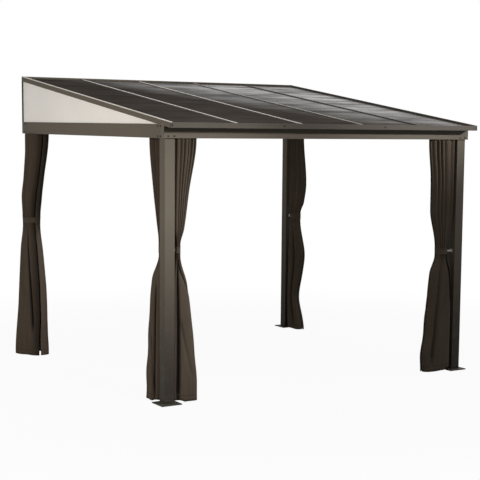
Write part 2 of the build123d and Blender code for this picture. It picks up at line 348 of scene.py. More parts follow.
def useGrain(tree, place, look):
    return useGroup(
        tree, coatGrain,
        {
            "Vector": place, "Colour": look["colour"], "Mottle": look["mottle"],
            "Rough Low": look["rough"][0], "Rough High": look["rough"][1],
            "Peel Scale": look["peelScale"],
        },
    )


def paintedMetal(name, look):
    material, tree, shader = newMaterial(
        name, {"Metallic": look["metallic"], "Specular IOR Level": look["specular"]}
    )
    place = objectPlace(tree)
    coat = useGrain(tree, place, look)
    rounded = addNode(tree, "ShaderNodeBevel", {"Radius": look["edgeRadius"]}, samples=4).outputs[0]
    facing = addNode(tree, "ShaderNodeNewGeometry").outputs["Normal"]
    edges = {"Vector": place, "Round Normal": rounded, "Face Normal": facing, "Amount": look["wear"]}
    wear = useGroup(tree, edgeWear, edges)["Mask"]
    worn = mixColours(tree, wear, coat["Colour"], look["wornColour"])
    # near the ground: dust on plates and screws, painted shade on the frame
    dustAndShadeInputs = {"Vector": place, "Top": look["dustAndShadeTop"], "Amount": look["dustAndShade"]}
    dustAndShade = useGroup(tree, groundDustAndShade, dustAndShadeInputs)["Mask"]
    join(tree, mixColours(tree, dustAndShade, worn, look["dustAndShadeColour"]), shader["Base Color"])
    join(tree, coat["Roughness"], shader["Roughness"])
    peel = {"Strength": look["peel"], "Distance": look["peelDepth"], "Normal": rounded}
    join(tree, bumpNode(tree, coat["Height"], peel), shader["Normal"])
    return material


finishes = {}
for finishName, finishLook in finishLooks.items():
    finishes[finishName] = paintedMetal(finishName, {**plainFinish, **finishLook})

# bare trim on the seams and gable lips with a painted highlight: bright at the left, fading to dark to
# the right
trimLook = {
    "colour": (0.66, 0.63, 0.58, 1.0),
    "darkEnd": (0.022, 0.019, 0.016, 1.0),
    "paintedHighlightFade": {"From Min": -0.1, "From Max": 0.75},
    "specular": 0.3,
    "mottle": 0.35,
    "rough": (0.4, 0.6),
    "peelScale": 650.0,
    "peel": {"Strength": 0.2, "Distance": 0.0003},
}


def makeTrimMetal(look):
    material, tree, shader = newMaterial("trimMetal", {"Specular IOR Level": look["specular"]})
    place = objectPlace(tree)
    coat = useGrain(tree, place, look)
    # painted highlight: the bright trim colour at the left fades to the dark colour toward the right
    paintedHighlightFade = rangeNode(
        tree, splitPlace(tree, place)["X"], look["paintedHighlightFade"], interpolation_type="SMOOTHSTEP"
    )
    join(tree, mixColours(tree, paintedHighlightFade, coat["Colour"], look["darkEnd"]), shader["Base Color"])
    join(tree, coat["Roughness"], shader["Roughness"])
    join(tree, bumpNode(tree, coat["Height"], look["peel"]), shader["Normal"])
    return material


trimMetal = makeTrimMetal(trimLook)

# roof sheet: matt dark brown coat, streaks along the eave, and a thin glossy
# film that lies in streaks toward the right end and shows at low angles
roofLook = {
    "colour": (0.062, 0.053, 0.046, 1.0),
    "mottle": 0.3,
    "rough": (0.55, 0.75),
    "peelScale": 650.0,
    "peel": {"Strength": 0.2, "Distance": 0.0004},
    "streakColour": (0.036, 0.031, 0.027, 1.0),
    "streakStretch": (1.5, 6.0, 6.0),
    "streak": {"Scale": 1.0, "Detail": 6.0, "Roughness": 0.65},
    "streakCut": {"From Min": 0.42, "From Max": 0.7},
    "filmLean": (1.0, 0.55, 0.0),
    "filmReach": {"From Min": -0.4, "From Max": 1.2},
    "filmThin": {"From Min": 0.4, "From Max": 0.62, "To Min": 1.0, "To Max": 0.3},
    "filmIor": 2.3,
    "filmRough": 0.22,
    "wave": {"Scale": 2.3, "Detail": 1.5},
    "swell": {"Strength": 0.1, "Distance": 0.02},
}


def makeRoofPaint(look):
    material, tree, shader = newMaterial(
        "roofPaint",
        {
            "Specular IOR Level": 0.0,
            "Coat Roughness": look["filmRough"], "Coat IOR": look["filmIor"],
        },
    )
    place = objectPlace(tree)
    coat = useGrain(tree, place, look)
    spread = {"Scale": look["streakStretch"], "Vector": place}
    stretch = addNode(tree, "ShaderNodeMapping", spread).outputs[0]
    streak = noiseNode(tree, stretch, look["streak"])
    cut = rangeNode(tree, streak, look["streakCut"])
    join(tree, mixColours(tree, cut, coat["Colour"], look["streakColour"]), shader["Base Color"])
    join(tree, coat["Roughness"], shader["Roughness"])
    slant = {0: place, 1: look["filmLean"]}
    lean = addNode(tree, "ShaderNodeVectorMath", slant, operation="DOT_PRODUCT").outputs["Value"]
    reach = rangeNode(tree, lean, look["filmReach"])
    thin = rangeNode(tree, streak, look["filmThin"])
    join(tree, mathNode(tree, "MULTIPLY", reach, thin), shader["Coat Weight"])
    swell = bumpNode(tree, noiseNode(tree, place, look["wave"]), look["swell"])
    join(tree, bumpNode(tree, coat["Height"], {**look["peel"], "Normal": swell}), shader["Normal"])
    return material


roofPaint = makeRoofPaint(roofLook)

# opal pane: milky sheet with soft clouding and faint vertical flutes; a faint
# glow stands in for the daylight that comes through it
opalLook = {
    "colour": (0.88, 0.85, 0.815, 1.0),
    "shadeColour": (0.82, 0.785, 0.745, 1.0),
    "cloud": {"Scale": 1.6, "Detail": 4.0},
    "cut": {"From Min": 0.35, "From Max": 0.8},
    "flutes": 520.0,
    "fluteBump": {"Strength": 0.12, "Distance": 0.001},
    "shader": {
        "Roughness": 0.45, "Specular IOR Level": 0.35, "Transmission Weight": 0.1,
        "Emission Strength": 0.12,
    },
}


def makeOpal(look):
    material, tree, shader = newMaterial("opalSheet", look["shader"])
    place = objectPlace(tree)
    cut = rangeNode(tree, noiseNode(tree, place, look["cloud"]), look["cut"])
    base = mixColours(tree, cut, look["colour"], look["shadeColour"])
    join(tree, base, shader["Base Color"])
    join(tree, base, shader["Emission Color"])
    steps = mathNode(tree, "MULTIPLY", splitPlace(tree, place)["Y"], look["flutes"])
    flute = mathNode(tree, "SINE", steps)
    join(tree, bumpNode(tree, flute, look["fluteBump"]), shader["Normal"])
    return material


opalSheet = makeOpal(opalLook)

# curtain cloth: dark brown weave with slubs, painted shade in the folds, a stitched hem
clothLook = {
    "name": "curtainCloth",
    "colour": (0.074, 0.057, 0.042, 1.0),
    "fadeColour": (0.094, 0.074, 0.055, 1.0),
    "fadeCloud": {"Scale": 3.0, "Detail": 5.0},
    "fade": {"From Min": 0.35, "From Max": 0.85, "To Min": 0.0, "To Max": 0.55},
    "paintedShadeColour": (0.006, 0.0045, 0.0035, 1.0),
    "paintedShadeRange": {"From Min": 0.42, "From Max": 0.9, "To Min": 0.0, "To Max": 1.0},
    "threads": 2600.0,
    "slub": 0.5,
    "weaveBump": {"Strength": 0.3, "Distance": 0.0006},
    "hemTop": 0.045,
    "hemLine": 0.0025,
    "stitchColour": (0.05, 0.039, 0.029, 1.0),
    "shader": {
        "Roughness": 0.9, "Specular IOR Level": 0.05, "Sheen Weight": 0.06,
        "Sheen Roughness": 0.5, "Sheen Tint": (0.5, 0.42, 0.36, 1.0),
    },
}
bandTint = {
    "name": "bandCloth",
    "colour": (0.078, 0.064, 0.05, 1.0),
    "fadeColour": (0.09, 0.074, 0.058, 1.0),
}


def makeCloth(look):
    material, tree, shader = newMaterial(look["name"], look["shader"])
    place = addNode(tree, "ShaderNodeTexCoord").outputs["UV"]
    cloth = {"Vector": place, "Threads": look["threads"], "Colour": look["colour"]}
    weave = useGroup(tree, clothWeave, {**cloth, "Slub": look["slub"]})
    fade = rangeNode(tree, noiseNode(tree, place, look["fadeCloud"]), look["fade"])
    faded = mixColours(tree, fade, weave["Colour"], look["fadeColour"])
    # painted shade: the stored fold shade darkens the cloth colour
    depth = addNode(tree, "ShaderNodeAttribute", attribute_name="paintedFoldShade").outputs["Fac"]
    paintedShadeMask = rangeNode(tree, depth, look["paintedShadeRange"], interpolation_type="SMOOTHSTEP")
    withPaintedShade = mixColours(tree, paintedShadeMask, faded, look["paintedShadeColour"])
    rise = splitPlace(tree, place)["Y"]
    hem = mathNode(tree, "COMPARE", rise, look["hemTop"], look["hemLine"])
    join(tree, mixColours(tree, hem, withPaintedShade, look["stitchColour"]), shader["Base Color"])
    join(tree, bumpNode(tree, weave["Height"], look["weaveBump"]), shader["Normal"])
    return material


curtainCloth = makeCloth(clothLook)
bandCloth = makeCloth({**clothLook, **bandTint})
print("materials made")

# carried-over nodes take their finish by slot
slotFinish = {
    "frame": finishes["taupeCoat"],
    "plates": finishes["plateCoat"],
    "caps": finishes["capPlastic"],
    "roof": roofPaint,
    "opal": opalSheet,
    "tracks": finishes["trackMetal"],
    "cloth": curtainCloth,
    "pegs": finishes["pegPlastic"],
}
for part in frame["record"]["subparts"]:
    node = nodes[part["node"]]
    node.data.materials.clear()
    node.data.materials.append(slotFinish[part["material_slot"]])
nodes["seam_strips"].data.materials[0] = trimMetal
# the front rail takes the darker copy of the frame coat, painted shade
nodes["front_rail"].data.materials[0] = finishes["railShadedCoat"]
nodes["ridge_studs"].data.materials[0] = finishes["plateCoat"]


def finishPiece(name, mesh, material=None):
    piece = bpy.data.objects.new(name, mesh)
    if material is not None:
        mesh.materials.append(material)
    scene.collection.objects.link(piece)
    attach(piece, "root")
    return piece


# rings of points become a closed skin, and a finished skin becomes a mesh
def skinRings(work, rings):
    for first, second in zip(rings, rings[1:]):
        for step in range(len(first)):
            after = (step + 1) % len(first)
            work.faces.new((first[step], first[after], second[after], second[step]))
    work.faces.new(rings[-1])
    work.faces.new(list(reversed(rings[0])))


def settleMesh(work, name):
    bmesh.ops.recalc_face_normals(work, faces=work.faces)
    mesh = bpy.data.meshes.new(name)
    work.to_mesh(mesh)
    work.free()
    return mesh


def layCloth(mesh, layout):
    uv = mesh.uv_layers.new(name="clothMetres")
    for loop in mesh.loops:
        uv.data[loop.index].uv = layout[loop.vertex_index]


# curtains: sheets folded back and forth in layers, wide under the track and
# pinched by a band; each row holds a height share, then shares of the bundle
# span: centre along the beam, centre outward, half length along, half across
bundle = {
    "span": 0.4, "hem": 0.02, "drop": 0.015, "top": 2.0597, "thick": 0.0014,
    "rows": 96, "faceSteps": 96, "innerSteps": 12,
}
halfGrid = 1.49
postSide = 0.085
frontFace = -1.3745
rearFace = 1.4655
curtainPlans = {
    "curtain_rear_left": {
        "carrier": "curtain_track_left", "axis": "y", "post": (-1, 1), "flat": (1.4, 2.04),
        "layers": 3, "pleats": 8, "folds": 2.3, "seed": 11, "shade": 0.45, "flutter": 0.03,
        "creases": [(0.58, 0.3, 0.12, 0.75, 1.0, 0.1), (0.5, -0.4, 0.25, -0.1, 0.3, 0.15)],
        "shape": [
            (1.000, 0.382, 0.042, 0.352, 0.236), (0.800, 0.333, 0.113, 0.303, 0.217),
            (0.710, 0.306, 0.152, 0.257, 0.232), (0.625, 0.262, 0.144, 0.192, 0.213),
            (0.592, 0.262, 0.144, 0.192, 0.213), (0.480, 0.342, 0.175, 0.284, 0.278),
            (0.240, 0.425, 0.179, 0.363, 0.368), (0.000, 0.460, 0.225, 0.400, 0.420),
        ],
    },
    "curtain_front_left_side": {
        "carrier": "curtain_track_left", "axis": "y", "post": (-1, -1), "flat": (1.4, 2.04),
        "layers": 7, "pleats": 6, "folds": 1.8, "seed": 23, "shade": 0.25, "flutter": 0.1,
        "creases": [(0.42, -0.3, 0.0, -0.55, 1.2, 0.16), (0.24, 0.1, 0.06, -0.4, 0.6, 0.12)],
        "shape": [
            (1.000, 0.286, 0.020, 0.251, 0.112), (0.800, 0.204, 0.000, 0.169, 0.112),
            (0.690, 0.150, -0.020, 0.110, 0.110), (0.600, 0.118, -0.030, 0.055, 0.100),
            (0.560, 0.118, -0.030, 0.055, 0.100), (0.460, 0.249, -0.010, 0.214, 0.120),
            (0.240, 0.307, 0.000, 0.272, 0.150), (0.000, 0.329, 0.020, 0.294, 0.165),
        ],
    },
    "curtain_front_left": {
        "carrier": "curtain_track_front", "axis": "x", "post": (-1, -1), "flat": (1.45, 2.04),
        "layers": 7, "pleats": 7, "folds": 2.2, "seed": 37, "shade": 1.0, "flutter": 0.025,
        "creases": [(0.57, -0.45, 0.01, -0.72, 1.4, 0.15), (0.555, -0.45, 0.42, 0.9, 1.2, 0.17),
            (0.3, -0.3, 0.1, 0.45, 0.4, 0.15)],
        "shape": [
            (1.000, 0.262, 0.020, 0.250, 0.112), (0.800, 0.181, 0.020, 0.169, 0.112),
            (0.660, 0.132, 0.010, 0.112, 0.110), (0.600, 0.108, 0.000, 0.048, 0.105),
            (0.560, 0.108, 0.000, 0.048, 0.105), (0.450, 0.166, -0.010, 0.154, 0.130),
            (0.240, 0.240, -0.020, 0.228, 0.160), (0.000, 0.285, -0.020, 0.273, 0.170),
        ],
    },
    "curtain_rear_right": {
        "carrier": "curtain_track_right", "axis": "y", "post": (1, 1), "flat": (1.4, 2.04),
        "layers": 5, "pleats": 6, "folds": 1.9, "seed": 41, "shade": 0.4, "flutter": 0.05,
        "creases": [(0.55, 0.0, 0.05, 0.25, 0.6, 0.2)],
        "shape": [
            (1.000, 0.301, 0.020, 0.281, 0.112), (0.750, 0.379, 0.010, 0.359, 0.120),
            (0.660, 0.339, 0.000, 0.319, 0.120), (0.600, 0.288, 0.000, 0.198, 0.115),
            (0.565, 0.288, 0.000, 0.198, 0.115), (0.380, 0.346, 0.020, 0.326, 0.160),
            (0.160, 0.216, 0.020, 0.196, 0.160), (0.000, 0.324, 0.040, 0.304, 0.190),
        ],
    },
    "curtain_front_right": {
        "carrier": "curtain_track_front", "axis": "x", "post": (1, -1), "flat": (1.45, 2.04),
        "layers": 5, "pleats": 6, "folds": 2.4, "seed": 53, "shade": 0.6, "flutter": 0.05,
        "creases": [(0.5, -0.55, 0.3, -0.9, 1.1, 0.12), (0.5, 0.3, 0.04, 0.5, 0.9, 0.2)],
        "shape": [
            (1.000, 0.365, 0.020, 0.353, 0.112), (0.820, 0.324, 0.015, 0.312, 0.120),
            (0.700, 0.320, 0.010, 0.308, 0.120), (0.535, 0.304, 0.000, 0.148, 0.120),
            (0.500, 0.304, 0.000, 0.148, 0.120), (0.420, 0.302, -0.010, 0.290, 0.145),
            (0.240, 0.343, -0.020, 0.331, 0.175), (0.000, 0.393, -0.025, 0.381, 0.195),
        ],
    },
    "curtain_front_right_side": {
        "carrier": "curtain_track_right", "axis": "y", "post": (1, -1), "flat": (1.4, 2.04),
        "layers": 5, "pleats": 7, "folds": 2.1, "seed": 67, "shade": 0.6, "flutter": 0.05,
        "creases": [(0.48, 0.1, 0.05, 0.3, 0.7, 0.2)],
        "shape": [
            (1.000, 0.427, 0.020, 0.360, 0.112), (0.820, 0.449, 0.020, 0.345, 0.125),
            (0.700, 0.426, 0.030, 0.259, 0.130), (0.535, 0.280, 0.025, 0.200, 0.125),
            (0.500, 0.280, 0.025, 0.200, 0.125), (0.420, 0.458, 0.080, 0.278, 0.200),
            (0.240, 0.603, 0.175, 0.266, 0.350), (0.000, 0.675, 0.225, 0.230, 0.420),
        ],
    },
}


def bundlePlace(plan, along, outward):
    sideX, sideY = plan["post"]
    if plan["axis"] == "y":
        x = sideX * (halfGrid - postSide / 2 + outward)
        y = frontFace + postSide + along if sideY < 0 else rearFace - postSide - along
        return x, y
    x = sideX * (halfGrid - postSide - along)
    return x, frontFace + postSide / 2 - outward


def rowSlope(first, middle, last, k):
    runA, runB = middle[0] - first[0], last[0] - middle[0]
    if runA <= 0 or runB <= 0:
        return 0.0
    slopeA = (middle[k] - first[k]) / runA
    slopeB = (last[k] - middle[k]) / runB
    if slopeA * slopeB <= 0:
        return 0.0
    return 2 * slopeA * slopeB / (slopeA + slopeB)


def smoothRow(shape, height):
    rows = sorted(shape)
    if height <= rows[0][0]:
        return rows[0][1:]
    for index in range(len(rows) - 1):
        low, high = rows[index], rows[index + 1]
        if height <= high[0]:
            before = rows[max(index - 1, 0)]
            after = rows[min(index + 2, len(rows) - 1)]
            step = high[0] - low[0]
            t = (height - low[0]) / step
            values = []
            for k in range(1, 5):
                start = (2 * t ** 3 - 3 * t ** 2 + 1) * low[k]
                stop = (3 * t ** 2 - 2 * t ** 3) * high[k]
                leave = (t ** 3 - 2 * t ** 2 + t) * step * rowSlope(before, low, high, k)
                arrive = (t ** 3 - t ** 2) * step * rowSlope(low, high, after, k)
                values.append(start + stop + leave + arrive)
            return values
    return rows[-1][1:]


def layerSteps(layers):
    shares = []
    for layer in range(layers):
        outer = layer in (0, layers - 1)
        count = bundle["faceSteps"] if outer else bundle["innerSteps"]
        for step in range(count):
            shares.append((layer + step / count) / layers)
    return shares + [1.0]


# how the cloth folds: how far the band's pinch reaches, how close and sharp the pleats are,
# which pleat flank takes painted shade, how much of the bundle the folds fill, and how the hem hangs
foldLook = {
    "pinchReach": 0.06, "stillReach": 0.14, "fineMost": 0.95, "fineTop": 0.92,
    "finePower": 0.4, "fineBand": 0.55, "pleatSharp": 1.25, "paintedFlankTurn": 0.26,
    "paintedFlankSharp": 4, "fill": 0.26, "fillTop": 0.04, "turnRound": 0.985, "turnWide": 0.89,
    "endPower": 3.4, "endRoom": 0.03, "nudge": 0.03, "flutterRate": 42.0,
    "hemLift": 0.004, "hemSway": (0.003, 0.002), "postClear": (0.06, 0.03),
}


# one face's fold, from -1 in a valley to 1 on a ridge, and how much painted shade it
# takes, darker on one flank of each pleat and in the valleys: close pleats under the
# track and at the band, below it a smooth fall with creases; a crease runs between two
# spots given as height and place across, then has a depth and a width
def foldFace(plan, w, height, waistHeight, dice, face):
    above = max(0.0, (height - waistHeight) / (1 - waistHeight))
    look = foldLook
    near = math.exp(-((height - waistHeight) / look["pinchReach"]) ** 2)
    fine = look["fineTop"] * above ** look["finePower"] + look["fineBand"] * near
    fine = min(look["fineMost"], fine)
    bend = w + 0.1 * math.sin(2.3 * w + dice[0]) + 0.05 * math.sin(5.1 * w + dice[1])
    phase = 0.5 * math.pi * plan["pleats"] * bend + dice[2] + 0.3 * height + 1.3 * face
    pleat = 2 * abs(math.cos(phase)) ** look["pleatSharp"] - 1
    pleat *= 0.82 + 0.18 * math.sin(3.7 * w + dice[3] + 1.5 * height)
    away = plan["post"][0] if plan["axis"] == "x" else plan["post"][1]
    paintedFlankShade = abs(math.cos(phase - look["paintedFlankTurn"] * math.pi * away)) ** look["paintedFlankSharp"]
    broad = 0.32 + 0.26 * math.sin(0.5 * math.pi * plan["folds"] * bend + dice[4] + 1.1 * height)
    broad += 0.1 * math.sin(4.6 * bend + dice[5] - 6.0 * height)
    for top, topSpot, low, lowSpot, depth, width in plan["creases"]:
        run = (top - height) / (top - low)
        window = max(0.0, min(1.0, (run + 0.15) / 0.2, (1.15 - run) / 0.2))
        centre = topSpot + (lowSpot - topSpot) * run
        broad -= depth * window * math.exp(-((w - centre) / width) ** 2)
    wave = max(-1.0, min(1.0, fine * pleat + (1 - fine) * broad))
    vary = 0.75 + 0.25 * math.sin(2.9 * w + dice[5] + 2.0 * height)
    # painted shade: one flank of each pleat and the valleys of the broad folds are darker
    shade = fine * plan["shade"] * max(paintedFlankShade * vary, 0.5 - 0.5 * pleat)
    shade += (1 - fine) * (0.5 - 0.5 * broad)
    return wave, max(0.0, min(1.0, shade))


def foldPath(plan, height, waistHeight, dice):
    centreAlong, centreOut, halfAlong, halfOut = smoothRow(plan["shape"], height)
    above = max(0.0, (height - waistHeight) / (1 - waistHeight))
    look = foldLook
    near = math.exp(-((height - waistHeight) / look["stillReach"]) ** 2)
    fill = look["fill"] + look["fillTop"] * above
    points = []
    for share in layerSteps(plan["layers"]):
        turn = math.pi * plan["layers"] * share
        w = -2 / math.pi * math.asin(look["turnRound"] * math.cos(turn)) / look["turnWide"]
        w = max(-1.0, min(1.0, w))
        room = math.sqrt(max(0.0, 1.0 - abs(w) ** look["endPower"]))
        room = room * (1 - look["endRoom"]) + look["endRoom"]
        outer, outerShade = foldFace(plan, w, height, waistHeight, dice, 0)
        inner, innerShade = foldFace(plan, w, height, waistHeight, dice, 1)
        stack = math.cos(math.pi * share)
        wave = 0.5 * ((1 + stack) * outer + (1 - stack) * inner)
        across = stack * (1 - fill * (1 - wave)) * room
        nudge = look["nudge"] * math.sin(4.0 * height + dice[7]) * (1 - w * w)
        shake = math.sin(look["flutterRate"] * height + dice[6])
        flutter = plan["flutter"] * shake * max(0.0, w) * (1 - height) ** 2
        along = centreAlong + halfAlong * (w + nudge + flutter * (1 - near))
        # painted shade for this point: the face's shade, darker still where the sheet turns between
        # layers
        shadeToPaint = outerShade if stack > 0 else innerShade
        shadeToPaint = max(shadeToPaint, min(1.0, 1.6 * (1 - abs(stack))))
        points.append(
            (along * bundle["span"], (centreOut + halfOut * across) * bundle["span"], shadeToPaint)
        )
    return points


def makeCurtain(name, plan):
    roll = random.Random(plan["seed"])
    dice = [6.283 * roll.random() for turn in range(8)]
    rows = bundle["rows"]
    tall = bundle["top"] - bundle["hem"]
    waistHeight = (sorted(plan["shape"])[3][0] + sorted(plan["shape"])[4][0]) / 2
    points, faces, layout, shadesToPaint = [], [], [], []
    shares = layerSteps(plan["layers"])
    wide = len(shares)
    slow, quick = foldLook["hemSway"]
    clearFrom, clearRun = foldLook["postClear"]
    for row in range(rows + 1):
        height = row / rows
        path = foldPath(plan, height, waistHeight, dice)
        for share, (along, outward, shadeToPaint) in zip(shares, path):
            x, y = bundlePlace(plan, along, outward)
            loose = (1 - height) ** 4
            sway = slow * math.sin(9.0 * share + plan["seed"]) + quick * math.sin(31.0 * share)
            clear = max(0.0, min(1.0, (along - clearFrom) / clearRun))
            hang = foldLook["hemLift"] + sway - bundle["drop"] * clear
            z = bundle["hem"] + tall * height + hang * loose
            points.append((x, y, min(z, bundle["top"])))
            layout.append((share * plan["flat"][0], height * plan["flat"][1]))
            shadesToPaint.append(shadeToPaint)
    for row in range(rows):
        for column in range(wide - 1):
            corner = row * wide + column
            faces.append((corner, corner + 1, corner + 1 + wide, corner + wide))
    mesh = bpy.data.meshes.new(name + "_cloth")
    mesh.from_pydata(points, [], faces)
    layCloth(mesh, layout)
    # the painted fold shade is kept per point and read by the cloth colour
    depth = mesh.attributes.new("paintedFoldShade", "FLOAT", "POINT")
    depth.data.foreach_set("value", shadesToPaint)
    for face in mesh.polygons:
        face.use_smooth = True
    area = sum(face.area for face in mesh.polygons)
    print(name, "area share", round(area / (plan["flat"][0] * plan["flat"][1]), 2))
    piece = finishPiece(name + "_cloth", mesh, curtainCloth)
    thick = piece.modifiers.new("clothThickness", "SOLIDIFY")
    thick.thickness = bundle["thick"]
    thick.offset = 0.0
    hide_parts(name)
    return piece


# tie bands: a flat woven strap round each waist, with a folded hem at both edges
bandLook = {
    "height": 0.05, "thick": 0.0024, "clear": 0.0008, "sides": 72, "lip": 0.0012,
    "snugAlong": 0.98, "snugAcross": 0.86,
}


def makeBand(name, plan):
    waistRows = sorted(plan["shape"])[3:5]
    row = waistRows[0]
    middle = (waistRows[0][0] + waistRows[1][0]) / 2
    tall = bundle["top"] - bundle["hem"]
    z = bundle["hem"] + tall * middle
    roll = random.Random(plan["seed"] + 5)
    turnA, turnB = 6.0 * roll.random(), 6.0 * roll.random()
    half, thick, lip = bandLook["height"] / 2, bandLook["thick"], bandLook["lip"]
    profile = [
        (0.0, -half), (thick + lip, -half), (thick + lip, -half * 0.8), (thick, -half * 0.74),
        (thick, half * 0.74), (thick + lip, half * 0.8), (thick + lip, half), (0.0, half),
    ]
    points, faces, layout = [], [], []
    sides, steps = bandLook["sides"], len(profile)
    for side in range(sides):
        turn = 2 * math.pi * side / sides
        ripple = 0.0006 * math.sin(7 * turn + turnA)
        tip = 0.0022 * math.sin(turn + turnB)
        for offset, rise in profile:
            grow = bandLook["clear"] + offset + ripple
            reach = row[3] * bundle["span"] * bandLook["snugAlong"] + grow
            depth = row[4] * bundle["span"] * bandLook["snugAcross"] + grow
            along = row[1] * bundle["span"] + reach * math.cos(turn)
            out = row[2] * bundle["span"] + depth * math.sin(turn)
            x, y = bundlePlace(plan, along, out)
            points.append((x, y, z + rise + tip))
            layout.append((turn * row[3] * bundle["span"], rise + offset))
    for side in range(sides):
        for step in range(steps):
            a = side * steps + step
            b = side * steps + (step + 1) % steps
            c = ((side + 1) % sides) * steps + (step + 1) % steps
            d = ((side + 1) % sides) * steps + step
            faces.append((a, b, c, d))
    mesh = bpy.data.meshes.new(name)
    mesh.from_pydata(points, [], faces)
    layCloth(mesh, layout)
    closeMesh(mesh)
    band = finishPiece(name, mesh, bandCloth)
    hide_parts("tie_bands")
    return band


def closeMesh(mesh):
    work = bmesh.new()
    work.from_mesh(mesh)
    bmesh.ops.recalc_face_normals(work, faces=work.faces)
    work.to_mesh(mesh)
    work.free()


for curtainName, plan in curtainPlans.items():
    cloth = makeCurtain(curtainName, plan)
    band = makeBand(curtainName.replace("curtain", "tie_band"), plan)
print("curtains and bands made")


# screws: pan heads with a six-sided recess, set out as points with a facing
screwLook = {
    "radius": 0.008, "height": 0.0036, "recess": 0.0036, "depth": 0.0022,
    "sides": 18, "seed": 7,
}


def turnedHead(look):
    work = bmesh.new()
    radius, height, sides = look["radius"], look["height"], look["sides"]
    turns = [2 * math.pi * step / sides for step in range(sides)]
    profile = [
        (radius, 0.0), (radius, height * 0.35), (radius * 0.8, height * 0.85), (radius * 0.55, height),
    ]
    rings = []
    for r, z in profile:
        rings.append([work.verts.new((r * math.cos(turn), r * math.sin(turn), z)) for turn in turns])
    for z in (height, height - look["depth"]):
        ring = []
        for turn in turns:
            sector = (turn + math.pi / 6) % (math.pi / 3) - math.pi / 6
            r = look["recess"] * math.cos(math.pi / 6) / math.cos(sector)
            ring.append(work.verts.new((r * math.cos(turn), r * math.sin(turn), z)))
        rings.append(ring)
    skinRings(work, rings)
    return bpy.data.objects.new("screwHead", settleMesh(work, "screwHead"))


def makeScrewTree(material):
    tree = bpy.data.node_groups.new("screwField", "GeometryNodeTree")
    sockets = {}
    for label, kind in (
        ("Points", "NodeSocketGeometry"), ("Head", "NodeSocketObject"),
        ("Size", "NodeSocketFloat"), ("Seed", "NodeSocketInt"),
    ):
        sockets[label] = tree.interface.new_socket(label, in_out="INPUT", socket_type=kind)
    tree.interface.new_socket("Screws", in_out="OUTPUT", socket_type="NodeSocketGeometry")
    source = addNode(tree, "NodeGroupInput")
    sink = addNode(tree, "NodeGroupOutput")
    head = addNode(tree, "GeometryNodeObjectInfo")
    join(tree, source.outputs["Head"], head.inputs["Object"])
    facing = addNode(tree, "GeometryNodeInputNamedAttribute", data_type="FLOAT_VECTOR")
    facing.inputs["Name"].default_value = "facing"
    aim = addNode(tree, "FunctionNodeAlignRotationToVector", axis="Z")
    join(tree, facing.outputs["Attribute"], aim.inputs["Vector"])
    chance = addNode(tree, "FunctionNodeRandomValue", data_type="FLOAT")
    chance.inputs[3].default_value = 6.283
    join(tree, source.outputs["Seed"], chance.inputs["Seed"])
    spin = addNode(tree, "FunctionNodeAxisAngleToRotation")
    spin.inputs["Axis"].default_value = (0.0, 0.0, 1.0)
    join(tree, chance.outputs[1], spin.inputs["Angle"])
    turned = addNode(tree, "FunctionNodeRotateRotation", rotation_space="LOCAL")
    join(tree, aim.outputs["Rotation"], turned.inputs["Rotation"])
    join(tree, spin.outputs["Rotation"], turned.inputs["Rotate By"])
    place = addNode(tree, "GeometryNodeInstanceOnPoints")
    join(tree, source.outputs["Points"], place.inputs["Points"])
    join(tree, head.outputs["Geometry"], place.inputs["Instance"])
    join(tree, turned.outputs["Rotation"], place.inputs["Rotation"])
    join(tree, source.outputs["Size"], place.inputs["Scale"])
    real = addNode(tree, "GeometryNodeRealizeInstances")
    join(tree, place.outputs["Instances"], real.inputs["Geometry"])
    paint = addNode(tree, "GeometryNodeSetMaterial")
    paint.inputs["Material"].default_value = material
    join(tree, real.outputs["Geometry"], paint.inputs["Geometry"])
    join(tree, paint.outputs["Geometry"], sink.inputs["Screws"])
    return tree, sockets


def settleTree(name, places, tree, values):
    points = bpy.data.meshes.new(name + "Points")
    points.from_pydata([place for place, facing in places], [], [])
    aim = points.attributes.new("facing", "FLOAT_VECTOR", "POINT")
    for index, (place, facing) in enumerate(places):
        aim.data[index].vector = facing
    holder = bpy.data.objects.new(name + "Points", points)
    scene.collection.objects.link(holder)
    modifier = holder.modifiers.new("layout", "NODES")
    modifier.node_group = tree
    for socket, value in values:
        modifier[socket.identifier] = value
    bpy.context.view_layer.update()
    ready = holder.evaluated_get(bpy.context.evaluated_depsgraph_get())
    mesh = bpy.data.meshes.new_from_object(ready)
    mesh.name = name
    holder.modifiers.remove(modifier)
    bpy.data.objects.remove(holder)
    return finishPiece(name, mesh)


screwSpots = {
    "overhang": 0.018, "beamInward": (0.037, 0.089), "beamRise": 0.016,
    "sideInward": (0.012, 0.055), "sideRise": 0.014, "sideDrop": 0.016,
    "railAlong": (-1.498, -0.5, 0.5, 1.498), "railRise": 0.022,
    "footInward": (0.02, 0.043), "footRise": 0.028,
}


